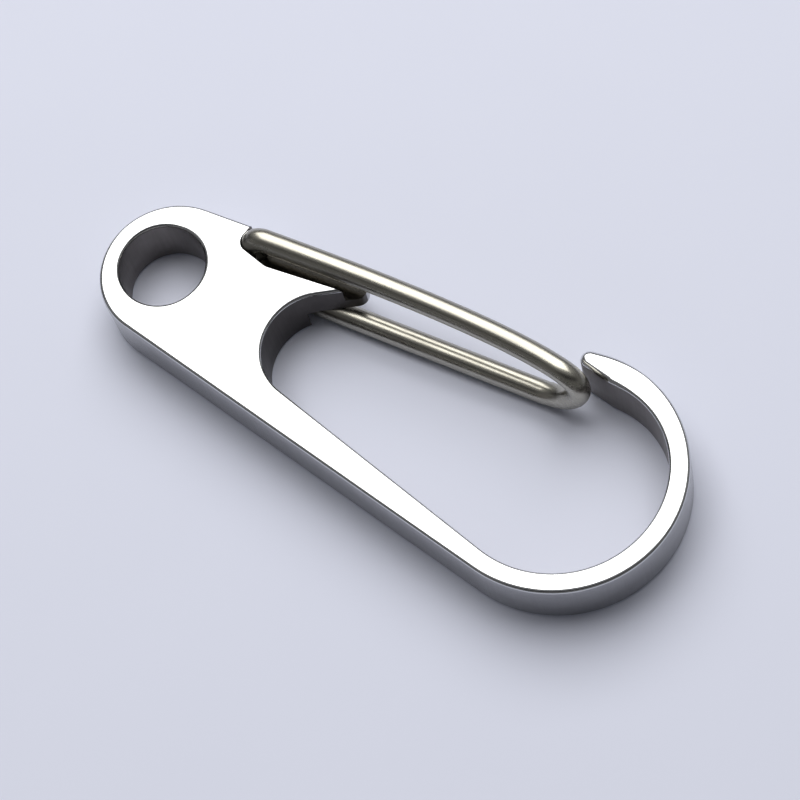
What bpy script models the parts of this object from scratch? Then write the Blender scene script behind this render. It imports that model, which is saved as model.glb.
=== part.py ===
"""Plate carabiner key clip: one flat stainless steel plate and one sprung wire gate.

The plate lies flat on Z = 0 with its long axis along X, the eye towards -X and the hook towards +X.
Its outline is a chain of circles joined by their common tangents. The gate is one bent wire that
turns about a vertical axis through its upper end, in the plate's outer edge.

All dimensions below are in millimetres, with the eye hole's centre as the plan's zero point. They
become metres, centred on the object's bounding box, when the meshes are made.
"""

from math import acos, asin, atan2, cos, degrees, dist, hypot, pi, radians, sin, tan

import bmesh
import bpy
from mathutils import Vector

MM = 0.001

# Plate
PLATE_THICKNESS = 5.0
EYE_DIAMETER = 7.1
END_X, END_RADIUS = 1.0, 6.0
HOOK_X, HOOK_RADIUS = 37.0, 10.2
EDGE_BREAK = 0.15
CENTRE_X = (HOOK_X + HOOK_RADIUS + END_X - END_RADIUS) / 2

# Loop: the heel is its narrow end by the eye, the bow its wide end inside the hook
HEEL_CENTRE, HEEL_RADIUS = (15.4, -0.1), 4.68
BOW_CENTRE, BOW_RADIUS = (36.9, 0.05), 8.6
CROWN_ANGLE, CROWN_RADIUS = 28.0, 7.55

# Nose of the hook
NOSE_BACK_ANGLE, NOSE_BACK_RADIUS = 90.0, 9.2
NOSE_TIP_CENTRE, NOSE_TIP_RADIUS = (34.56, 9.15), 0.72
THROAT_CENTRE, THROAT_RADIUS = (37.1, 11.1), 3.0

# Tongue between the two gate pockets
TONGUE_CENTRE, TONGUE_RADIUS = (14.5, 6.2), 0.95
SHOULDER_X, SHOULDER_RADIUS = 10.5, 4.0
TOP_POCKET_DEPTH = 1.7
BOTTOM_POCKET_DEPTH = 2.1
POCKET_BELLY_CENTRE, POCKET_BELLY_RADIUS = (7.6, 5.4), 1.6
POCKET_MOUTH = (20.0, 5.75)

# Gate wire
WIRE_DIAMETER = 1.9
WIRE_RADIUS = WIRE_DIAMETER / 2
UPPER_LEG_Z = 5.6
LOWER_LEG_Z = 1.0
END_BEND_RADIUS = 1.0
UPPER_PIVOT = (5.42, 5.3)
UPPER_START, UPPER_START_SLOPE = (6.7, 5.558), 0.116
UPPER_FINISH, UPPER_FINISH_SLOPE = (33.12, 6.991), -0.117
LOWER_PIVOT_X, LOWER_FINISH_X = 8.6, 31.3
LOWER_LEG_HEIGHT, LOWER_LEG_SLOPE = 3.345, 0.095
TIP_REACH = 2.6
UPPER_STUB_DEPTH = 1.7
LOWER_STUB_DEPTH = 0.55

# Motion and running gaps
GATE_SWING = 5.0
PIVOT_GAP = 0.18
END_WALL_GAP = 0.25
HOLE_END_GAP = 0.25

ROUND = 4 / 3 * tan(pi / 8)
CHORD_HEIGHT = 0.01
SAME_POINT = 0.001
PAST = 1.0
FAR = 6.0


def place(x, y, z):
    """A plan point and a height in millimetres as a point of the object in metres."""
    return Vector((x - CENTRE_X, y, z)) * MM


def inside_circle(centre, radius, smaller, angle):
    """Centre of a smaller circle that touches a larger one from inside at an angle in degrees."""
    inset = radius - smaller
    return (centre[0] + inset * cos(radians(angle)), centre[1] + inset * sin(radians(angle)))


def arc_points(centre, radius, start, end):
    """Points of an arc between two angles in degrees, both ends included, within CHORD_HEIGHT."""
    largest_step = degrees(2 * acos(1 - CHORD_HEIGHT / radius))
    steps = max(1, round(abs(end - start) / largest_step))
    angles = [radians(start + (end - start) * i / steps) for i in range(steps + 1)]
    return [(centre[0] + radius * cos(a), centre[1] + radius * sin(a)) for a in angles]


def tangent_heading(first, second):
    """Heading of the path that leaves one circle and joins the next, each (centre, radius, turn)."""
    (x1, y1), r1, turn1 = first
    (x2, y2), r2, turn2 = second
    rise = (turn2 * r2 - turn1 * r1) / hypot(x2 - x1, y2 - y1)
    return atan2(y2 - y1, x2 - x1) - asin(max(-1.0, min(1.0, rise)))


def tangent_outline(circles):
    """Closed outline round a chain of circles; turn is +1 for a left-hand bend and -1 for a right."""
    count = len(circles)
    headings = [tangent_heading(circles[i], circles[(i + 1) % count]) for i in range(count)]
    outline = []
    for i, (centre, radius, turn) in enumerate(circles):
        if radius == 0:
            outline.append(centre)
            continue
        arrive, leave = degrees(headings[i - 1]), degrees(headings[i])
        sweep = (leave - arrive) * turn % 360 * turn
        if abs(sweep) > 359.9:
            sweep = 0.0
        start = arrive - 90 * turn
        outline += arc_points(centre, radius, start, start + sweep)
    return [point for i, point in enumerate(outline) if dist(point, outline[i - 1]) > SAME_POINT]


def plate_circles():
    """The circles that the plate's outline rolls round, counter-clockwise from the eye end."""
    nose_back = inside_circle((HOOK_X, 0.0), HOOK_RADIUS, NOSE_BACK_RADIUS, NOSE_BACK_ANGLE)
    crown = inside_circle(BOW_CENTRE, BOW_RADIUS, CROWN_RADIUS, CROWN_ANGLE)
    taper = asin((HOOK_RADIUS - END_RADIUS) / (HOOK_X - END_X))
    edge_y = END_RADIUS / cos(taper) + (SHOULDER_X - END_X) * tan(taper)
    shoulder = (SHOULDER_X + SHOULDER_RADIUS * sin(taper), edge_y - SHOULDER_RADIUS * cos(taper))
    return [
        ((END_X, 0.0), END_RADIUS, 1),
        ((HOOK_X, 0.0), HOOK_RADIUS, 1),
        (nose_back, NOSE_BACK_RADIUS, 1),
        (NOSE_TIP_CENTRE, NOSE_TIP_RADIUS, 1),
        (THROAT_CENTRE, THROAT_RADIUS, 1),
        (crown, CROWN_RADIUS, -1),
        (BOW_CENTRE, BOW_RADIUS, -1),
        (HEEL_CENTRE, HEEL_RADIUS, -1),
        (TONGUE_CENTRE, TONGUE_RADIUS, 1),
        (shoulder, SHOULDER_RADIUS, 1),
    ]


def lower_leg_y(x):
    """Plan position of the lower leg's centre line."""
    return LOWER_LEG_HEIGHT + LOWER_LEG_SLOPE * x


def lower_pivot():
    """Plan point of the gate's lower end when the gate is shut."""
    return (LOWER_PIVOT_X, lower_leg_y(LOWER_PIVOT_X))


def swung(point):
    """A plan point of the gate after the gate has opened fully, towards -Y."""
    px, py = UPPER_PIVOT
    turn = radians(-GATE_SWING)
    dx, dy = point[0] - px, point[1] - py
    return (px + dx * cos(turn) - dy * sin(turn), py + dx * sin(turn) + dy * cos(turn))


def top_pocket_circles():
    """Pocket in the top face for the upper leg, open along the plate's outer edge."""
    px, py = UPPER_PIVOT
    wall = WIRE_RADIUS + END_WALL_GAP
    return [
        ((px - wall, 2 * py), 0, 1),
        (UPPER_PIVOT, wall, 1),
        (POCKET_BELLY_CENTRE, POCKET_BELLY_RADIUS, 1),
        (POCKET_MOUTH, 0, 1),
        ((POCKET_MOUTH[0], 2 * py), 0, 1),
    ]


def bottom_pocket_circles():
    """Pocket in the bottom face for the lower leg, wide enough for the leg to swing."""
    opened = swung(lower_pivot())
    wall = WIRE_RADIUS + END_WALL_GAP
    far_x = LOWER_PIVOT_X + FAR
    open_y = swung((far_x, lower_leg_y(far_x)))[1] - wall
    return [
        ((opened[0] - wall, FAR * 2), 0, 1),
        (opened, wall, 1),
        ((far_x, open_y), 0, 1),
        ((far_x + FAR, open_y), 0, 1),
        ((far_x + FAR, FAR * 2), 0, 1),
    ]


def prism(name, outline, low, high):
    """A closed extrusion of a plan outline between two heights."""
    bm = bmesh.new()
    corners = [bm.verts.new(place(x, y, low)) for x, y in outline]
    floor = bm.faces.new(corners)
    raised = bmesh.ops.extrude_face_region(bm, geom=[floor])["geom"]
    lifted = [item for item in raised if isinstance(item, bmesh.types.BMVert)]
    bmesh.ops.translate(bm, verts=lifted, vec=Vector((0, 0, high - low)) * MM)
    bmesh.ops.recalc_face_normals(bm, faces=bm.faces)
    return finish_mesh(name, bm)


def finish_mesh(name, bm):
    """An object in the scene that holds a bmesh."""
    mesh = bpy.data.meshes.new(name)
    bm.to_mesh(mesh)
    bm.free()
    thing = bpy.data.objects.new(name, mesh)
    bpy.context.scene.collection.objects.link(thing)
    return thing


def cut(body, cutter):
    """Take a hidden cutter out of a body with a live Boolean."""
    cutter.hide_render = True
    cutter.display_type = "WIRE"
    boolean = body.modifiers.new(cutter.name, "BOOLEAN")
    boolean.operation = "DIFFERENCE"
    boolean.solver = "EXACT"
    boolean.object = cutter


def circle_outline(centre, radius):
    """A full circle without a repeated last point."""
    return arc_points(centre, radius, 0, 360)[:-1]


def slot_outline(start, end, radius):
    """A slot with round ends."""
    return tangent_outline([(start, radius, 1), (end, radius, 1)])


def make_frame(material):
    """The plate with its eye, loop, two gate pockets and two pivot holes."""
    body = prism("frame", tangent_outline(plate_circles()), 0, PLATE_THICKNESS)
    body.data.materials.append(material)
    bevel = body.modifiers.new("edge_break", "BEVEL")
    bevel.width = EDGE_BREAK * MM
    bevel.segments = 1
    bevel.limit_method = "ANGLE"
    bevel.angle_limit = radians(60)

    top_floor = PLATE_THICKNESS - TOP_POCKET_DEPTH
    hole_radius = WIRE_RADIUS + PIVOT_GAP
    upper_hole_end = top_floor - UPPER_STUB_DEPTH - HOLE_END_GAP
    lower_hole_end = BOTTOM_POCKET_DEPTH + LOWER_STUB_DEPTH + HOLE_END_GAP
    lower_slot = slot_outline(lower_pivot(), swung(lower_pivot()), hole_radius)
    eye = circle_outline((0.0, 0.0), EYE_DIAMETER / 2)
    upper_hole = circle_outline(UPPER_PIVOT, hole_radius)
    top_pocket = tangent_outline(top_pocket_circles())
    bottom_pocket = tangent_outline(bottom_pocket_circles())
    cut(body, prism("eye_cutter", eye, -PAST, PLATE_THICKNESS + PAST))
    cut(body, prism("top_pocket_cutter", top_pocket, top_floor, PLATE_THICKNESS + PAST))
    cut(body, prism("bottom_pocket_cutter", bottom_pocket, -PAST, BOTTOM_POCKET_DEPTH))
    cut(body, prism("upper_hole_cutter", upper_hole, upper_hole_end, top_floor + PAST))
    cut(body, prism("lower_hole_cutter", lower_slot, PAST, lower_hole_end))
    body.data.shade_smooth()
    body.data.set_sharp_from_angle(angle=radians(30))
    return body


def curve_piece(start, start_pull, end_pull, end, steps):
    """Points of a cubic Bezier, both ends included."""
    points = []
    for i in range(steps + 1):
        t = i / steps
        near, far = 1 - t, t
        points.append(
            start * near**3
            + (start + start_pull) * (3 * near**2 * far)
            + (end + end_pull) * (3 * near * far**2)
            + end * far**3
        )
    return points


def end_bend(leg_start, leg_heading, pivot, side):
    """Centre line from a leg down (side -1) or up (side +1) into the hole at a plan point."""
    into_hole = Vector((0, 0, side * END_BEND_RADIUS))
    corner = Vector((*pivot, leg_start.z))
    back = leg_heading * (corner - leg_start).length / leg_heading.length
    return curve_piece(leg_start, -back * ROUND, -into_hole * ROUND, corner + into_hole, 5)


def gate_path():
    """Centre line of the wire from its upper end, round the tip, to its lower end."""
    up_start = Vector((*UPPER_START, UPPER_LEG_Z))
    up_end = Vector((*UPPER_FINISH, UPPER_LEG_Z))
    low_start_x = LOWER_PIVOT_X + END_BEND_RADIUS
    low_start = Vector((low_start_x, lower_leg_y(low_start_x), LOWER_LEG_Z))
    low_end = Vector((LOWER_FINISH_X, lower_leg_y(LOWER_FINISH_X), LOWER_LEG_Z))
    up_out = Vector((1, UPPER_START_SLOPE, 0))
    up_in = Vector((1, UPPER_FINISH_SLOPE, 0))
    low_in = Vector((1, LOWER_LEG_SLOPE, 0))

    run = up_end.x - up_start.x
    upper_leg = curve_piece(up_start, up_out * run * 0.36, up_in * run * -0.22, up_end, 14)
    lower_leg = [low_end.lerp(low_start, i / 6) for i in range(7)]

    spread = (up_end - low_end) / 2
    tip = (up_end + low_end) / 2 + (up_in + low_in) / 2 * TIP_REACH
    pull = spread * ROUND
    rise = curve_piece(up_end, up_in * TIP_REACH * ROUND, pull, tip, 6)
    fall = curve_piece(tip, -pull, low_in * TIP_REACH * ROUND, low_end, 6)

    upper_floor = PLATE_THICKNESS - TOP_POCKET_DEPTH
    upper_end = Vector((*UPPER_PIVOT, upper_floor - UPPER_STUB_DEPTH))
    lower_end = Vector((*lower_pivot(), BOTTOM_POCKET_DEPTH + LOWER_STUB_DEPTH))
    into_upper = end_bend(up_start, up_out, UPPER_PIVOT, -1)
    into_lower = end_bend(low_start, low_in, lower_pivot(), 1)
    path = [upper_end] + into_upper[::-1] + upper_leg[1:] + rise[1:] + fall[1:]
    return path + lower_leg[1:] + into_lower[1:] + [lower_end]


def make_wire_gate(material):
    """The gate wire as a round bar along its centre line, with its origin on the hinge axis."""
    hinge = place(*UPPER_PIVOT, 0)
    curve = bpy.data.curves.new("wire_gate", "CURVE")
    curve.dimensions = "3D"
    curve.bevel_depth = WIRE_RADIUS * MM
    curve.bevel_resolution = 4
    curve.use_fill_caps = True
    spline = curve.splines.new("POLY")
    path = [place(*point) - hinge for point in gate_path()]
    spline.points.add(len(path) - 1)
    for spot, point in zip(spline.points, path):
        spot.co = (*point, 1)
    spline.use_smooth = True
    curve.materials.append(material)
    gate = bpy.data.objects.new("wire_gate", curve)
    gate.location = hinge
    bpy.context.scene.collection.objects.link(gate)
    return gate


def steel(name, color, roughness):
    """A plain metal finish."""
    material = bpy.data.materials.new(name)
    material.use_nodes = True
    shader = material.node_tree.nodes["Principled BSDF"]
    shader.inputs["Base Color"].default_value = (*color, 1)
    shader.inputs["Metallic"].default_value = 1.0
    shader.inputs["Roughness"].default_value = roughness
    return material


def main():
    """Empty the scene and build the two pieces."""
    for thing in list(bpy.data.objects):
        bpy.data.objects.remove(thing, do_unlink=True)
    make_frame(steel("polished_plate", (0.78, 0.78, 0.79), 0.12))
    make_wire_gate(steel("spring_wire", (0.62, 0.60, 0.54), 0.18))


main()
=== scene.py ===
"""Plate carabiner key clip: the finished look of the steel plate and its sprung wire gate.

Plan sizes are in millimetres, with the middle of the eye hole as the plan's zero point. The plate
lies flat on the table, its eye towards -X, its hook towards +X and its gate on the +Y side.
"""

import logging

from dataclasses import dataclass, field
from enum import Enum
from math import asin, atan2, cos, degrees, hypot, pi, radians, sin, tan
from typing import Sequence, Union

import bpy
from bpy.types import Material, MeshPolygon, Node, NodeSocket, Object
from mathutils import Euler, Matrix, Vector


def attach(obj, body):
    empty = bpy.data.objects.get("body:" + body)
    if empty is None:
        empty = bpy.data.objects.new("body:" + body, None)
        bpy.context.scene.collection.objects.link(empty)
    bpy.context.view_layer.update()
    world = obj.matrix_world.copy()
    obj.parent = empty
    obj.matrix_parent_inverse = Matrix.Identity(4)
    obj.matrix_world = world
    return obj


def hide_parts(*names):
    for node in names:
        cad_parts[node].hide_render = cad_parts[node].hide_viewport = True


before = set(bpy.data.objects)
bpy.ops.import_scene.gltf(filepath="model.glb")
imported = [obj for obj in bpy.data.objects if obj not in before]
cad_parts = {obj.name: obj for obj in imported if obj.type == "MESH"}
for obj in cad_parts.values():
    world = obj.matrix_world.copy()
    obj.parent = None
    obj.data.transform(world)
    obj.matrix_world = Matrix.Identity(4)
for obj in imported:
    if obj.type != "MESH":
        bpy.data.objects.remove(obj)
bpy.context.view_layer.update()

Plan = tuple[float, float]
Triple = tuple[float, float, float]

LOG = logging.getLogger("key_clip")

# One millimetre in metres, and the handle length that makes a Bezier curve a quarter circle.
MM = 0.001
ROUND = 4 / 3 * tan(pi / 8)

# In millimetres: the plan's middle, a gap too small to tell, a level line's largest rise, the size
# of the circle that an outline grows from, and how far a cutter goes past the face that it opens.
CENTRE_X = 21.1
SAME_POINT = 0.004
LEVEL = 0.1
SEED = 0.1
PAST = 1.0

# In degrees: the largest facet turn of a cutter, and the sweeps between which an arc is drawn.
CUTTER_FACET = 4.0
LEAST_SWEEP = 0.01
MOST_SWEEP = 359.9

# How many flats go round a drilled hole.
DRILL_SIDES = 160

# Plan points of the two holes that the gate's ends turn in.
UPPER_PIVOT: Plan = (5.42, 5.3)
LOWER_PIVOT: Plan = (8.6, 4.162)


def place(x: float, y: float, z: float) -> Vector:
    """Turn a plan point and a height in millimetres into a point of the object.

    Args:
        x: Distance along the plate from the eye hole's middle.
        y: Distance across the plate from the eye hole's middle.
        z: Height above the table.

    Returns:
        The same point in metres, with the object's middle as zero.
    """
    return Vector((x - CENTRE_X, y, z)) * MM


# ---------------------------------------------------------------------------
# Shader maths
# ---------------------------------------------------------------------------


class Signal:
    """A node's output socket that takes part in Python arithmetic."""

    def __init__(self, shop: "Recipe", socket: NodeSocket) -> None:
        """Wrap a socket of the material that a recipe is writing.

        Args:
            shop: The recipe whose node tree holds the socket.
            socket: The output socket.
        """
        self.shop = shop
        self.socket = socket

    def _math(self, operation: str, first: "Value", second: "Value" = 0.0) -> "Signal":
        """Add one Math node.

        Args:
            operation: Name of the Math node's operation.
            first: First operand.
            second: Second operand.

        Returns:
            The node's result.
        """
        return self.shop.node("ShaderNodeMath", {"operation": operation}, {0: first, 1: second})

    def __add__(self, other: "Value") -> "Signal":
        """Add a number or another signal."""
        return self._math("ADD", self, other)

    def __radd__(self, other: "Value") -> "Signal":
        """Add this signal to a number."""
        return self._math("ADD", other, self)

    def __sub__(self, other: "Value") -> "Signal":
        """Take a number or another signal away."""
        return self._math("SUBTRACT", self, other)

    def __rsub__(self, other: "Value") -> "Signal":
        """Take this signal away from a number."""
        return self._math("SUBTRACT", other, self)

    def __mul__(self, other: "Value") -> "Signal":
        """Multiply by a number or another signal."""
        return self._math("MULTIPLY", self, other)

    def __rmul__(self, other: "Value") -> "Signal":
        """Multiply a number by this signal."""
        return self._math("MULTIPLY", other, self)

    def clipped(self) -> "Signal":
        """Hold the value between nought and one."""
        return self.shop.node("ShaderNodeClamp", {}, {"Value": self})


Value = Union[Signal, float]


class Recipe:
    """Writes one material's nodes."""

    def __init__(self, name: str) -> None:
        """Start a material that holds only its shader and output.

        Args:
            name: The material's name.
        """
        self.material: Material = bpy.data.materials.new(name)
        self.material.use_nodes = True
        self.tree = self.material.node_tree
        self.shader: Node = self.tree.nodes["Principled BSDF"]

    def node(
        self, kind: str, settings: dict[str, object], inputs: dict[object, object], output: object = 0
    ) -> Signal:
        """Add one node of any type.

        Args:
            kind: The node's type name.
            settings: Properties of the node, set before its sockets.
            inputs: Socket name or number, and the value or signal it takes.
            output: Name or number of the output that is wanted.

        Returns:
            The wanted output.
        """
        made = self.tree.nodes.new(kind)
        for key, value in settings.items():
            setattr(made, key, value)
        for key, value in inputs.items():
            if isinstance(value, Signal):
                self.tree.links.new(value.socket, made.inputs[key])
            else:
                made.inputs[key].default_value = value
        return Signal(self, made.outputs[output])

    def position(self, scale: Triple, turn: float = 0.0) -> Signal:
        """Give the object coordinates, stretched and turned about Z.

        Args:
            scale: Pattern repeats per metre along each axis.
            turn: Turn about Z in degrees.

        Returns:
            The coordinates as a vector.
        """
        coordinates = self.node("ShaderNodeTexCoord", {}, {}, "Object")
        settings = {"Vector": coordinates, "Scale": scale, "Rotation": (0, 0, radians(turn))}
        return self.node("ShaderNodeMapping", {}, settings)

    def noise(self, where: Signal, detail: float, rough: float = 0.5) -> Signal:
        """Give a cloudy pattern.

        Args:
            where: The coordinates that it follows.
            detail: Octaves of finer cloud.
            rough: How strong the finer clouds are.

        Returns:
            The pattern, about one half on average.
        """
        inputs = {"Vector": where, "Scale": 1.0, "Detail": detail, "Roughness": rough}
        return self.node("ShaderNodeTexNoise", {}, inputs)

    def blend(self, factor: Value, first: object, second: object) -> Signal:
        """Mix two colours.

        Args:
            factor: Share of the second colour.
            first: First colour.
            second: Second colour.

        Returns:
            The mixed colour.
        """
        inputs = {0: factor, 6: first, 7: second}
        return self.node("ShaderNodeMix", {"data_type": "RGBA"}, inputs, 2)

    def feed(self, **sockets: object) -> None:
        """Connect or set sockets of the shader.

        Args:
            **sockets: Socket names with underscores for spaces, and what each takes.
        """
        for key, value in sockets.items():
            socket = self.shader.inputs[key.replace("_", " ")]
            if isinstance(value, Signal):
                self.tree.links.new(value.socket, socket)
            else:
                socket.default_value = value

    def metal(
        self, color: Signal, roughness: Signal, height: Signal, strength: float, depth: float
    ) -> None:
        """Make the material a bare metal.

        Args:
            color: The metal's colour.
            roughness: How dull it is, from nought to one.
            height: Its surface relief.
            strength: How strongly the relief tells.
            depth: The relief's depth in metres.
        """
        inputs = {"Strength": strength, "Distance": depth, "Height": height}
        bump = self.node("ShaderNodeBump", {}, inputs)
        self.feed(Base_Color=color, Metallic=1.0, Roughness=roughness, Normal=bump)


# ---------------------------------------------------------------------------
# Finishes
# ---------------------------------------------------------------------------


@dataclass(frozen=True)
class PolishedSteel:
    """Mirror-polished stainless plate with faint buffing haze and hairline scratches.

    A grain is how often a pattern repeats per metre along each axis, and its turn is in degrees.
    """

    name: str = "polished_plate"
    clean: Triple = (0.66, 0.665, 0.67)
    hazed: Triple = (0.58, 0.585, 0.595)
    gloss: float = 0.05
    haze: float = 0.07
    scratch_height: float = 0.04
    scratch_depth: float = 0.00002
    cloud_grain: Triple = (180, 180, 180)
    buffing_grain: Triple = (300, 5000, 700)
    buffing_turn: float = 24
    buffing_height: float = 0.4
    hairline_grain: Triple = (9000, 260, 900)
    hairline_turn: float = 61
    scratch_from: float = 0.62
    scratch_gain: float = 6.0
    cloud_share: float = 0.6
    buffing_share: float = 0.4
    scratch_share: float = 0.4

    def make(self) -> Material:
        """Write the material.

        Returns:
            The finished material.
        """
        recipe = Recipe(self.name)
        cloud = recipe.noise(recipe.position(self.cloud_grain), 3.0)
        buffing = recipe.noise(recipe.position(self.buffing_grain, self.buffing_turn), 2.0)
        hairline = recipe.noise(recipe.position(self.hairline_grain, self.hairline_turn), 1.0)
        scratch = ((hairline - self.scratch_from) * self.scratch_gain).clipped()
        haze = cloud * self.cloud_share + buffing * self.buffing_share
        dulled = (haze + scratch * self.scratch_share).clipped()
        color = recipe.blend(dulled, (*self.clean, 1), (*self.hazed, 1))
        roughness = dulled * self.haze + self.gloss
        height = buffing * self.buffing_height - scratch
        recipe.metal(color, roughness, height, self.scratch_height, self.scratch_depth)
        return recipe.material


@dataclass(frozen=True)
class CutWall:
    """Surface left by the cutting of the plate, with fine lines up and down and dark patches.

    Where the shade band's end lies past its start, painted shade darkens the surface between them, in
    metres along X:
    it is blended, by the band's share, with its dark colour times the band's tone, and the blend rises
    by the band's edge per metre.
    """

    name: str
    bright: Triple
    dark: Triple
    gloss: float
    haze: float
    line_height: float
    line_depth: float = 0.00003
    painted_shade_from: float = 0.0
    painted_shade_to: float = 0.0
    painted_shade_tone: float = 1.0
    painted_shade_edge: float = 500.0
    painted_shade_share: float = 0.8
    line_grain: Triple = (4200, 4200, 160)
    patch_grain: Triple = (520, 520, 700)
    line_share: float = 0.45
    patch_share: float = 0.55

    def make(self) -> Material:
        """Write the material.

        Returns:
            The finished material.
        """
        recipe = Recipe(self.name)
        lines = recipe.noise(recipe.position(self.line_grain), 3.0, 0.6)
        patches = recipe.noise(recipe.position(self.patch_grain), 3.0)
        dulled = (lines * self.line_share + patches * self.patch_share).clipped()
        color = recipe.blend(dulled, (*self.bright, 1), (*self.dark, 1))
        # Painted shade: a band along X is darkened towards the dark colour times a tone.
        if self.painted_shade_to > self.painted_shade_from:
            along = recipe.node("ShaderNodeSeparateXYZ", {}, {0: recipe.position((1, 1, 1))}, "X")
            risen = ((along - self.painted_shade_from) * self.painted_shade_edge + patches - 0.5).clipped()
            fallen = ((self.painted_shade_to - along) * self.painted_shade_edge + patches - 0.5).clipped()
            painted_shade = tuple(part * self.painted_shade_tone for part in self.dark)
            color = recipe.blend(risen * fallen * self.painted_shade_share, color, (*painted_shade, 1))
        roughness = dulled * self.haze + self.gloss
        recipe.metal(color, roughness, lines, self.line_height, self.line_depth)
        return recipe.material


@dataclass(frozen=True)
class SpringWire:
    """Bright drawn spring wire with die lines along its length and a slightly warm tint."""

    name: str = "spring_wire"
    bright: Triple = (0.46, 0.445, 0.39)
    worn: Triple = (0.34, 0.325, 0.28)
    gloss: float = 0.2
    haze: float = 0.16
    line_height: float = 0.12
    line_depth: float = 0.00003
    line_grain: Triple = (90, 6500, 6500)
    line_turn: float = -2
    patch_grain: Triple = (420, 900, 900)
    line_share: float = 0.5
    patch_share: float = 0.5

    def make(self) -> Material:
        """Write the material.

        Returns:
            The finished material.
        """
        recipe = Recipe(self.name)
        lines = recipe.noise(recipe.position(self.line_grain, self.line_turn), 2.0)
        patches = recipe.noise(recipe.position(self.patch_grain), 3.0)
        dulled = (lines * self.line_share + patches * self.patch_share).clipped()
        color = recipe.blend(dulled, (*self.bright, 1), (*self.worn, 1))
        roughness = dulled * self.haze + self.gloss
        recipe.metal(color, roughness, lines, self.line_height, self.line_depth)
        return recipe.material


@dataclass(frozen=True)
class PaleSheet:
    """Matt pale backing sheet with a faint mottle."""

    name: str = "pale_sheet"
    light: Triple = (0.69, 0.715, 0.83)
    shade: Triple = (0.675, 0.70, 0.815)
    mottle_grain: Triple = (60, 60, 60)
    roughness: float = 0.85
    specular: float = 0.2

    def make(self) -> Material:
        """Write the material.

        Returns:
            The finished material.
        """
        recipe = Recipe(self.name)
        mottle = recipe.noise(recipe.position(self.mottle_grain), 2.0)
        color = recipe.blend(mottle, (*self.light, 1), (*self.shade, 1))
        recipe.feed(Base_Color=color, Roughness=self.roughness, Specular_IOR_Level=self.specular)
        return recipe.material


# ---------------------------------------------------------------------------
# Modelling helpers
# ---------------------------------------------------------------------------


class Turn(Enum):
    """The hand of a bend as an outline is walked counter-clockwise."""

    LEFT = 1
    RIGHT = -1


@dataclass(frozen=True)
class Bend:
    """One round bend or sharp corner of a plan outline, in millimetres."""

    centre: Plan
    radius: float = 0.0
    turn: Turn = Turn.LEFT

    def signed(self) -> float:
        """Give the radius, negative for a right-hand bend."""
        return self.radius * self.turn.value

    def heading_to(self, other: "Bend") -> float:
        """Find the heading of the straight that joins this bend to the next.

        Args:
            other: The next bend.

        Returns:
            The heading in radians.
        """
        dx, dy = other.centre[0] - self.centre[0], other.centre[1] - self.centre[1]
        rise = (other.signed() - self.signed()) / hypot(dx, dy)
        return atan2(dy, dx) - asin(max(-1.0, min(1.0, rise)))

    def point(self, heading: float) -> Plan:
        """Find where the outline is on this bend when it has a heading.

        Args:
            heading: The outline's heading in radians.

        Returns:
            The plan point.
        """
        reach = self.signed()
        return (self.centre[0] + reach * sin(heading), self.centre[1] - reach * cos(heading))

    @staticmethod
    def inside(outer: "Bend", radius: float, angle: float) -> "Bend":
        """Make a smaller bend that touches a larger one from inside.

        Args:
            outer: The larger bend.
            radius: The smaller radius.
            angle: Where they touch, in degrees.

        Returns:
            The smaller bend, with the same hand.
        """
        inset = outer.radius - radius
        x = outer.centre[0] + inset * cos(radians(angle))
        y = outer.centre[1] + inset * sin(radians(angle))
        return Bend((x, y), radius, outer.turn)


def only(thing: Object) -> None:
    """Select one object alone and make it active.

    Args:
        thing: The object.
    """
    bpy.ops.object.select_all(action="DESELECT")
    thing.select_set(True)
    bpy.context.view_layer.objects.active = thing


def extrude_slab(name: str, bends: Sequence[Bend], low: float, high: float, step: float) -> Object:
    """Draw a closed outline with spun arcs and extruded straights, and raise it to a slab.

    Args:
        name: The slab's name.
        bends: The outline's bends, counter-clockwise.
        low: Height of its underside in millimetres.
        high: Height of its top in millimetres.
        step: Largest turn of one facet of an arc, in degrees.

    Returns:
        The slab.
    """
    headings = [bend.heading_to(bends[(i + 1) % len(bends)]) for i, bend in enumerate(bends)]
    here = bends[0].point(headings[-1])
    bpy.ops.object.select_all(action="DESELECT")
    bpy.ops.mesh.primitive_circle_add(vertices=3, radius=SEED * MM, location=place(*here, low))
    slab = bpy.context.active_object
    slab.name = name
    bpy.ops.object.mode_set(mode="EDIT")
    bpy.ops.mesh.select_mode(type="VERT")
    bpy.ops.mesh.select_all(action="SELECT")
    bpy.ops.mesh.merge(type="COLLAPSE")
    for i, bend in enumerate(bends):
        arrive = bend.point(headings[i - 1])
        if hypot(arrive[0] - here[0], arrive[1] - here[1]) > SAME_POINT:
            along = place(*arrive, low) - place(*here, low)
            bpy.ops.mesh.extrude_region_move(TRANSFORM_OT_translate={"value": along})
        sweep = degrees(headings[i] - headings[i - 1]) * bend.turn.value % 360
        if bend.radius > 0 and LEAST_SWEEP < sweep < MOST_SWEEP:
            facets = max(1, round(sweep / step))
            turn = radians(sweep) * bend.turn.value
            middle = place(*bend.centre, low)
            bpy.ops.mesh.spin(steps=facets, angle=-turn, center=middle, axis=(0, 0, 1))
        here = bend.point(headings[i])
    closing = place(*bends[0].point(headings[-1]), low) - place(*here, low)
    bpy.ops.mesh.extrude_region_move(TRANSFORM_OT_translate={"value": closing})
    bpy.ops.mesh.select_all(action="SELECT")
    bpy.ops.mesh.remove_doubles(threshold=SAME_POINT * MM)
    bpy.ops.mesh.edge_face_add()
    raised = {"value": (0, 0, (high - low) * MM)}
    bpy.ops.mesh.extrude_region_move(TRANSFORM_OT_translate=raised)
    bpy.ops.mesh.select_all(action="SELECT")
    bpy.ops.mesh.normals_make_consistent(inside=False)
    bpy.ops.object.mode_set(mode="OBJECT")
    bpy.ops.object.transform_apply(location=True, rotation=True, scale=True)
    return slab


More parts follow.
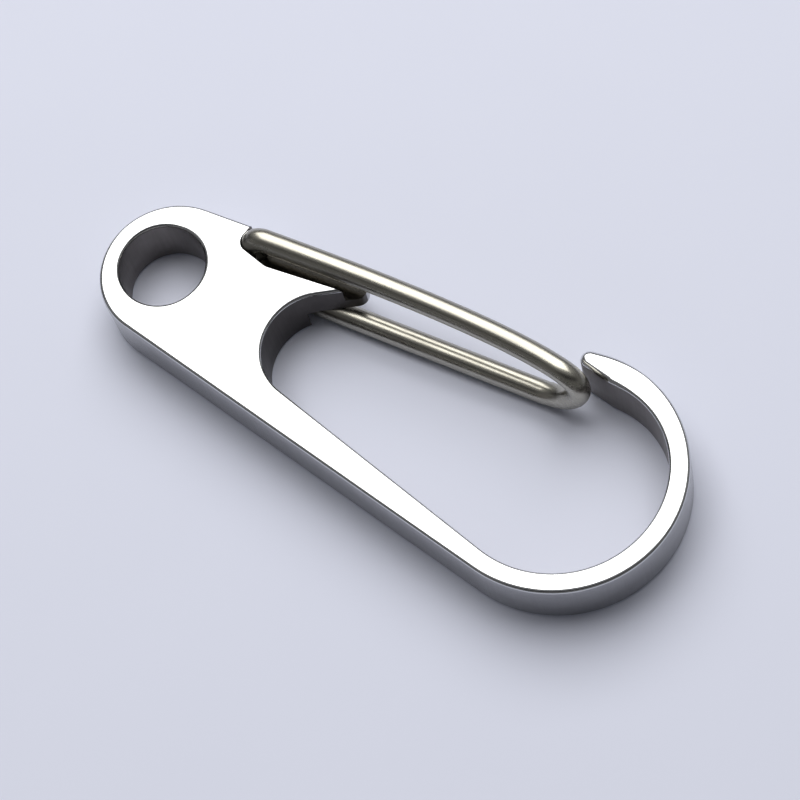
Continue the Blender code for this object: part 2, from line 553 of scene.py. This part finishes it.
def cut_away(body: Object, cutter: Object) -> None:
    """Take a cutter out of a body and throw the cutter away.

    Args:
        body: The body that is cut.
        cutter: The solid that is taken out of it.
    """
    only(body)
    boolean = body.modifiers.new(cutter.name, "BOOLEAN")
    boolean.operation = "DIFFERENCE"
    boolean.solver = "MANIFOLD"
    boolean.object = cutter
    bpy.ops.object.modifier_apply(modifier=boolean.name)
    bpy.data.objects.remove(cutter, do_unlink=True)


def drill(body: Object, centre: Plan, radius: float, low: float, high: float) -> None:
    """Drill one round hole.

    Args:
        body: The body that is drilled.
        centre: The hole's plan point.
        radius: The hole's radius in millimetres.
        low: Lowest height that the drill reaches.
        high: Highest height that the drill starts from.
    """
    bpy.ops.object.select_all(action="DESELECT")
    bpy.ops.mesh.primitive_cylinder_add(
        vertices=DRILL_SIDES,
        radius=radius * MM,
        depth=(high - low) * MM,
        location=place(*centre, (low + high) / 2),
    )
    bit = bpy.context.active_object
    bit.name = "drill_bit"
    cut_away(body, bit)


# ---------------------------------------------------------------------------
# The plate
# ---------------------------------------------------------------------------


@dataclass
class ClipPlate:
    """The flat steel plate with its eye, its hook, and the two pockets that the gate sits in.

    Sizes are in millimetres and angles in degrees. Pocket outlines run past the plate's edge, to
    pocket_end along it and to outside across it, and the holes reach into the pockets by overlap.
    The last four numbers sort the faces: the least rise of a flat face's normal, that of a polished
    face, the outward lean of an outer wall, and how close to a pocket's floor a face has to lie.
    """

    thickness: float = 5.0
    facet_turn: float = 2.0
    eye_radius: float = 3.55
    end: Bend = Bend((1.0, 0.0), 6.0)
    hook: Bend = Bend((37.0, 0.0), 10.2)
    nose_back_radius: float = 9.2
    nose_back_angle: float = 90.0
    nose_tip: Bend = Bend((34.56, 9.15), 0.72)
    throat: Bend = Bend((37.1, 11.1), 3.0)
    bow: Bend = Bend((36.9, 0.05), 8.6, Turn.RIGHT)
    crown_radius: float = 7.55
    crown_angle: float = 28.0
    heel: Bend = Bend((15.4, -0.1), 4.68, Turn.RIGHT)
    tongue: Bend = Bend((14.5, 6.2), 0.95)
    shoulder_x: float = 10.5
    shoulder_radius: float = 4.0
    edge_round: float = 0.3
    nose_round: float = 0.55
    nose_fade: float = 4.0
    round_segments: int = 5
    rim_angle: float = 60.0
    smooth_angle: float = 32.0
    top_pocket_floor: float = 3.3
    bottom_pocket_roof: float = 2.1
    lower_pivot_open: Plan = (8.44, 3.89)
    hole_radius: float = 1.04
    upper_hole_floor: float = 1.3
    slot_roof: float = 2.9
    overlap: float = 0.6
    outside: float = 12.0
    pocket_lip: float = 0.75
    pocket_end: float = 20.0
    leg_rest: Bend = Bend((7.6, 5.45), 1.6)
    top_pocket_side: float = 5.8
    slot_clearance: float = 0.1
    bottom_pocket_corner: Plan = (14.6, 2.93)
    flat_rise: float = 0.9999
    face_rise: float = 0.35
    outward: float = 0.2
    floor_gap: float = 0.01
    face: PolishedSteel = field(default_factory=PolishedSteel)
    rim: CutWall = CutWall("outer_rim", (0.44, 0.44, 0.45), (0.31, 0.31, 0.32), 0.16, 0.14, 0.15)
    bore: CutWall = CutWall(
        name="bored_wall",
        bright=(0.27, 0.255, 0.25),
        dark=(0.17, 0.155, 0.15),
        gloss=0.30,
        haze=0.22,
        line_height=0.5,
        # Painted shade on the loop's inner wall by the heel, 8.6 to 20.1 mm along the plate, darkened
        # to 0.3 of the dark colour.
        painted_shade_from=-0.0125,
        painted_shade_to=-0.001,
        painted_shade_tone=0.3,
    )
    # Partly painted shade: the pocket floors' dark colour stands in for the shade and dark reflection
    # under the gate wire, while their gloss is the milled finish.
    pocket: CutWall = CutWall("milled_pocket_painted_shade", (0.2, 0.19, 0.175), (0.1, 0.095, 0.085), 0.08, 0.1, 0.2)

    def outline(self) -> list[Bend]:
        """List the bends of the plate's edge, counter-clockwise from the eye end.

        Returns:
            The bends.
        """
        taper = asin((self.hook.radius - self.end.radius) / (self.hook.centre[0] - self.end.centre[0]))
        run = self.shoulder_x - self.end.centre[0]
        edge_y = self.end.radius / cos(taper) + run * tan(taper)
        shoulder_x = self.shoulder_x + self.shoulder_radius * sin(taper)
        shoulder_y = edge_y - self.shoulder_radius * cos(taper)
        return [
            self.end,
            self.hook,
            Bend.inside(self.hook, self.nose_back_radius, self.nose_back_angle),
            self.nose_tip,
            self.throat,
            Bend.inside(self.bow, self.crown_radius, self.crown_angle),
            self.bow,
            self.heel,
            self.tongue,
            Bend((shoulder_x, shoulder_y), self.shoulder_radius),
        ]

    def top_pocket(self) -> list[Bend]:
        """List the bends of the pocket in the front face.

        Returns:
            The bends.
        """
        left = UPPER_PIVOT[0] - self.hole_radius
        return [
            Bend((left + self.pocket_lip, self.outside)),
            Bend(UPPER_PIVOT, self.hole_radius),
            self.leg_rest,
            Bend((self.pocket_end, self.top_pocket_side)),
            Bend((self.pocket_end, self.outside)),
        ]

    def bottom_pocket(self) -> list[Bend]:
        """List the bends of the pocket in the back face.

        Returns:
            The bends.
        """
        wall = self.hole_radius + self.slot_clearance
        return [
            Bend((self.lower_pivot_open[0] - wall, self.outside)),
            Bend(self.lower_pivot_open, wall),
            Bend(self.bottom_pocket_corner),
            Bend((self.pocket_end, self.bottom_pocket_corner[1])),
            Bend((self.pocket_end, self.outside)),
        ]

    def round_edges(self, body: Object) -> None:
        """Round the rims of the plate, the loop and the eye, with a larger radius at the nose's tip.

        Args:
            body: The plate before its pockets are cut.
        """
        only(body)
        bpy.ops.object.mode_set(mode="EDIT")
        bpy.ops.mesh.select_mode(type="EDGE")
        bpy.ops.mesh.select_all(action="DESELECT")
        bpy.ops.mesh.edges_select_sharp(sharpness=radians(self.rim_angle))
        bpy.ops.object.mode_set(mode="OBJECT")
        points = body.data.vertices
        tip = place(*self.nose_tip.centre, self.thickness)
        share = body.data.attributes.new("bevel_weight_edge", "FLOAT", "EDGE")
        for edge, weight in zip(body.data.edges, share.data):
            one, other = (points[i].co for i in edge.vertices)
            if edge.select and abs(one.z - other.z) < LEVEL * MM:
                away = ((one + other) / 2 - tip).length / MM - self.nose_tip.radius
                near = max(0.0, 1.0 - max(0.0, away) / self.nose_fade)
                swell = near * near * (3 - 2 * near)
                size = self.edge_round + (self.nose_round - self.edge_round) * swell
                weight.value = size / self.nose_round
        bevel = body.modifiers.new("edge_round", "BEVEL")
        bevel.width = self.nose_round * MM
        bevel.segments = self.round_segments
        bevel.limit_method = "WEIGHT"
        bevel.use_clamp_overlap = False
        bpy.ops.object.modifier_apply(modifier=bevel.name)

    def polish(self, body: Object) -> None:
        """Shade the curved walls smooth and keep the two faces truly flat.

        Args:
            body: The finished plate.
        """
        only(body)
        bpy.ops.object.shade_smooth_by_angle(angle=radians(self.smooth_angle))
        bpy.ops.object.mode_set(mode="EDIT")
        bpy.ops.mesh.select_mode(type="FACE")
        bpy.ops.mesh.select_all(action="DESELECT")
        bpy.ops.object.mode_set(mode="OBJECT")
        for face in body.data.polygons:
            face.select = abs(face.normal.z) > self.flat_rise
        bpy.ops.object.mode_set(mode="EDIT")
        bpy.ops.mesh.region_to_loop()
        bpy.ops.mesh.mark_sharp()
        bpy.ops.mesh.select_mode(type="VERT")
        bpy.ops.object.mode_set(mode="OBJECT")

    def faces_out(self, face: MeshPolygon) -> bool:
        """Tell an outer wall from the walls of the eye and the loop.

        Args:
            face: A wall's face.

        Returns:
            True where the wall looks away from the line between the two end centres.
        """
        x, y = face.center.x / MM + CENTRE_X, face.center.y / MM
        spine_x = max(self.end.centre[0], min(self.hook.centre[0], x))
        return (x - spine_x) * face.normal.x + y * face.normal.y > self.outward

    def dress(self, body: Object) -> None:
        """Polish the two faces, and give the walls and the pocket floors their cut finishes, with
        painted shade in the pocket floors' dark colour and in a dark band on the loop's wall by the
        heel.

        Args:
            body: The finished plate.
        """
        body.data.materials.clear()
        finishes = (self.face, self.rim, self.bore, self.pocket)
        for finish in finishes:
            body.data.materials.append(finish.make())
        floors = (self.top_pocket_floor * MM, self.bottom_pocket_roof * MM)
        for face in body.data.polygons:
            if any(abs(face.center.z - floor) < self.floor_gap * MM for floor in floors):
                chosen = self.pocket
            elif abs(face.normal.z) >= self.face_rise:
                chosen = self.face
            else:
                chosen = self.rim if self.faces_out(face) else self.bore
            face.material_index = finishes.index(chosen)

    def build(self) -> Object:
        """Model the plate.

        Returns:
            The plate's object.
        """
        floor, roof = self.top_pocket_floor, self.bottom_pocket_roof
        high, low = self.thickness + PAST, -PAST
        body = extrude_slab("clip_plate", self.outline(), 0.0, self.thickness, self.facet_turn)
        drill(body, (0.0, 0.0), self.eye_radius, low, high)
        self.round_edges(body)
        cut_away(body, extrude_slab("upper_cutter", self.top_pocket(), floor, high, CUTTER_FACET))
        cut_away(body, extrude_slab("lower_cutter", self.bottom_pocket(), low, roof, CUTTER_FACET))
        drill(body, UPPER_PIVOT, self.hole_radius, self.upper_hole_floor, floor + self.overlap)
        slot = [Bend(pivot, self.hole_radius) for pivot in (LOWER_PIVOT, self.lower_pivot_open)]
        slot_low = roof - self.overlap
        cut_away(body, extrude_slab("slot_cutter", slot, slot_low, self.slot_roof, CUTTER_FACET))
        self.polish(body)
        self.dress(body)
        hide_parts("frame")
        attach(body, "plate")
        return body


# ---------------------------------------------------------------------------
# The gate
# ---------------------------------------------------------------------------


@dataclass
class WireGate:
    """The hairpin of spring wire that closes the hook, with its sizes in millimetres."""

    radius: float = 0.95
    upper_height: float = 5.6
    lower_height: float = 1.0
    upper_end: float = 1.6
    lower_end: float = 2.65
    end_bend: float = 1.0
    upper_start: Plan = (6.7, 5.558)
    upper_start_slope: float = 0.116
    upper_finish: Plan = (33.12, 6.991)
    upper_finish_slope: float = -0.117
    lower_finish: Plan = (31.3, 6.3185)
    lower_slope: float = 0.095
    tip_reach: float = 2.6
    start_ease: float = 0.36
    finish_ease: float = 0.22
    rings_per_span: int = 28
    ring_resolution: int = 12
    smooth_angle: float = 50.0
    finish: SpringWire = field(default_factory=SpringWire)

    def path(self) -> list[tuple[Vector, Vector, Vector]]:
        """List the wire's Bezier points from its upper end to its lower end, in millimetres.

        Returns:
            Each point with the handle before it and the handle after it.
        """
        up_out = Vector((1, self.upper_start_slope, 0))
        up_in = Vector((1, self.upper_finish_slope, 0))
        low_in = Vector((1, self.lower_slope, 0))
        start = Vector((*self.upper_start, self.upper_height))
        turn_in = Vector((*self.upper_finish, self.upper_height))
        turn_out = Vector((*self.lower_finish, self.lower_height))
        low_x = LOWER_PIVOT[0] + self.end_bend
        low_y = LOWER_PIVOT[1] + self.end_bend * self.lower_slope
        finish = Vector((low_x, low_y, self.lower_height))
        down = Vector((*UPPER_PIVOT, self.upper_height - self.end_bend))
        rise = Vector((*LOWER_PIVOT, self.lower_height + self.end_bend))
        tip = (turn_in + turn_out) / 2 + (up_in + low_in) / 2 * self.tip_reach

        lift = Vector((0, 0, self.end_bend * ROUND))
        back = (start - Vector((*UPPER_PIVOT, self.upper_height))).length * ROUND
        run = turn_in.x - start.x
        spread = (turn_in - turn_out) / 2 * ROUND
        round_in = up_in * self.tip_reach * ROUND
        round_out = low_in * self.tip_reach * ROUND
        straight = (turn_out - finish) / 3
        first = Vector((*UPPER_PIVOT, self.upper_end))
        last = Vector((*LOWER_PIVOT, self.lower_end))
        low_back = low_in * self.end_bend * ROUND
        return [
            (first, first, first.lerp(down, 1 / 3)),
            (down.lerp(first, 1 / 3), down, down + lift),
            (start - up_out * back, start, start + up_out * run * self.start_ease),
            (turn_in - up_in * run * self.finish_ease, turn_in, turn_in + round_in),
            (tip + spread, tip, tip - spread),
            (turn_out + round_out, turn_out, turn_out - straight),
            (finish + straight, finish, finish - low_back),
            (rise - lift, rise, rise.lerp(last, 1 / 3)),
            (last.lerp(rise, 1 / 3), last, last),
        ]

    def build(self) -> Object:
        """Bend the wire along its path and make it a solid.

        Returns:
            The gate's object.
        """
        bpy.ops.object.select_all(action="DESELECT")
        bpy.ops.curve.primitive_bezier_curve_add(radius=MM, location=(0, 0, 0))
        wire = bpy.context.active_object
        wire.name = "gate_wire"
        spline = wire.data.splines[0]
        path = self.path()
        spline.bezier_points.add(len(path) - len(spline.bezier_points))
        for knot, (before, here, after) in zip(spline.bezier_points, path):
            knot.handle_left_type = knot.handle_right_type = "FREE"
            knot.co = place(*here)
            knot.handle_left = place(*before)
            knot.handle_right = place(*after)
        wire.data.resolution_u = self.rings_per_span
        wire.data.bevel_depth = self.radius * MM
        wire.data.bevel_resolution = self.ring_resolution
        wire.data.use_fill_caps = True
        only(wire)
        bpy.ops.object.convert(target="MESH")
        bpy.ops.object.mode_set(mode="EDIT")
        bpy.ops.mesh.select_all(action="SELECT")
        bpy.ops.mesh.remove_doubles(threshold=SAME_POINT * MM / 2)
        bpy.ops.mesh.normals_make_consistent(inside=False)
        bpy.ops.object.mode_set(mode="OBJECT")
        bpy.ops.object.shade_smooth_by_angle(angle=radians(self.smooth_angle))
        wire.data.materials.clear()
        wire.data.materials.append(self.finish.make())
        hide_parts("wire_gate")
        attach(wire, "gate")
        return wire


# ---------------------------------------------------------------------------
# The studio
# ---------------------------------------------------------------------------


@dataclass(frozen=True)
class Softbox:
    """One rectangular soft light that looks at the clip, with its sizes in metres."""

    name: str
    direction: Triple
    distance: float
    width: float
    height: float
    power: float
    color: Triple = (1.0, 1.0, 1.0)

    def hang(self, target: Vector) -> None:
        """Add the light.

        Args:
            target: The point that it faces.
        """
        lamp = bpy.data.lights.new(self.name, "AREA")
        lamp.shape = "RECTANGLE"
        lamp.size = self.width
        lamp.size_y = self.height
        lamp.energy = self.power
        lamp.color = self.color
        holder = bpy.data.objects.new(self.name, lamp)
        offset = Vector(self.direction).normalized() * self.distance
        holder.location = target + offset
        holder.rotation_euler = offset.to_track_quat("Z", "Y").to_euler()
        bpy.context.scene.collection.objects.link(holder)


@dataclass
class Studio:
    """The table, the soft lights, the room's glow and the camera, with lengths in metres.

    Two boxes hang above the clip, and three faint cards stand low around it.
    """

    floor_size: float = 0.6
    floor_gap: float = 0.00002
    aim: Triple = (0.0, 0.0, 0.003)
    camera_place: Triple = (0.07277, -0.06044, 0.19253)
    camera_turn: Triple = (24.867, 8.445, 32.199)
    lens: float = 121.5
    sensor: float = 36.0
    glow: Triple = (0.03, 0.03, 0.033)
    lights: Sequence[Softbox] = (
        Softbox("top_box", (-0.301, 0.399, 0.866), 0.55, 0.62, 0.62, 3.9, (1.0, 0.99, 0.97)),
        Softbox("wide_box", (-0.301, 0.399, 0.866), 0.70, 2.0, 2.0, 2.6, (0.98, 0.99, 1.0)),
        Softbox("front_card", (0.72, -0.60, 0.34), 0.50, 0.75, 0.30, 0.1),
        Softbox("right_card", (0.72, 0.60, 0.34), 0.50, 0.75, 0.30, 0.1),
        Softbox("left_card", (-0.47, -0.81, 0.34), 0.50, 0.75, 0.30, 0.1),
    )

    def lay_floor(self) -> Object:
        """Lay the pale sheet just under the clip.

        Returns:
            The floor's object.
        """
        bpy.ops.object.select_all(action="DESELECT")
        bpy.ops.mesh.primitive_plane_add(size=self.floor_size, location=(0, 0, 0))
        floor = bpy.context.active_object
        floor.name = "backing_sheet"
        bpy.ops.object.mode_set(mode="EDIT")
        bpy.ops.mesh.select_all(action="SELECT")
        bpy.ops.transform.translate(value=(0, 0, -self.floor_gap))
        bpy.ops.object.mode_set(mode="OBJECT")
        floor.data.materials.append(PaleSheet().make())
        return floor

    def set_camera(self) -> None:
        """Stand the camera above the hook's end, away from the gate, and look down at the clip."""
        eye = bpy.data.cameras.new("view")
        eye.lens = self.lens
        eye.sensor_width = self.sensor
        eye.clip_start = 0.01
        holder = bpy.data.objects.new("view", eye)
        holder.location = self.camera_place
        holder.rotation_euler = Euler([radians(a) for a in self.camera_turn], "XYZ")
        bpy.context.scene.collection.objects.link(holder)
        bpy.context.scene.camera = holder

    def light(self) -> None:
        """Hang the lights and set the room's even glow."""
        for box in self.lights:
            box.hang(Vector(self.aim))
        world = bpy.data.worlds.new("room")
        world.use_nodes = True
        background = world.node_tree.nodes["Background"]
        background.inputs["Color"].default_value = (*self.glow, 1)
        bpy.context.scene.world = world
        bpy.context.scene.view_settings.view_transform = "Standard"


def main() -> None:
    """Build the clip and its studio."""
    logging.basicConfig(level=logging.INFO, format="%(name)s: %(message)s")
    studio = Studio()
    studio.set_camera()
    for maker in (ClipPlate(), WireGate()):
        piece = maker.build()
        LOG.info("%s: %d faces", piece.name, len(piece.data.polygons))
    studio.lay_floor()
    studio.light()


if __name__ == "__main__":
    main()
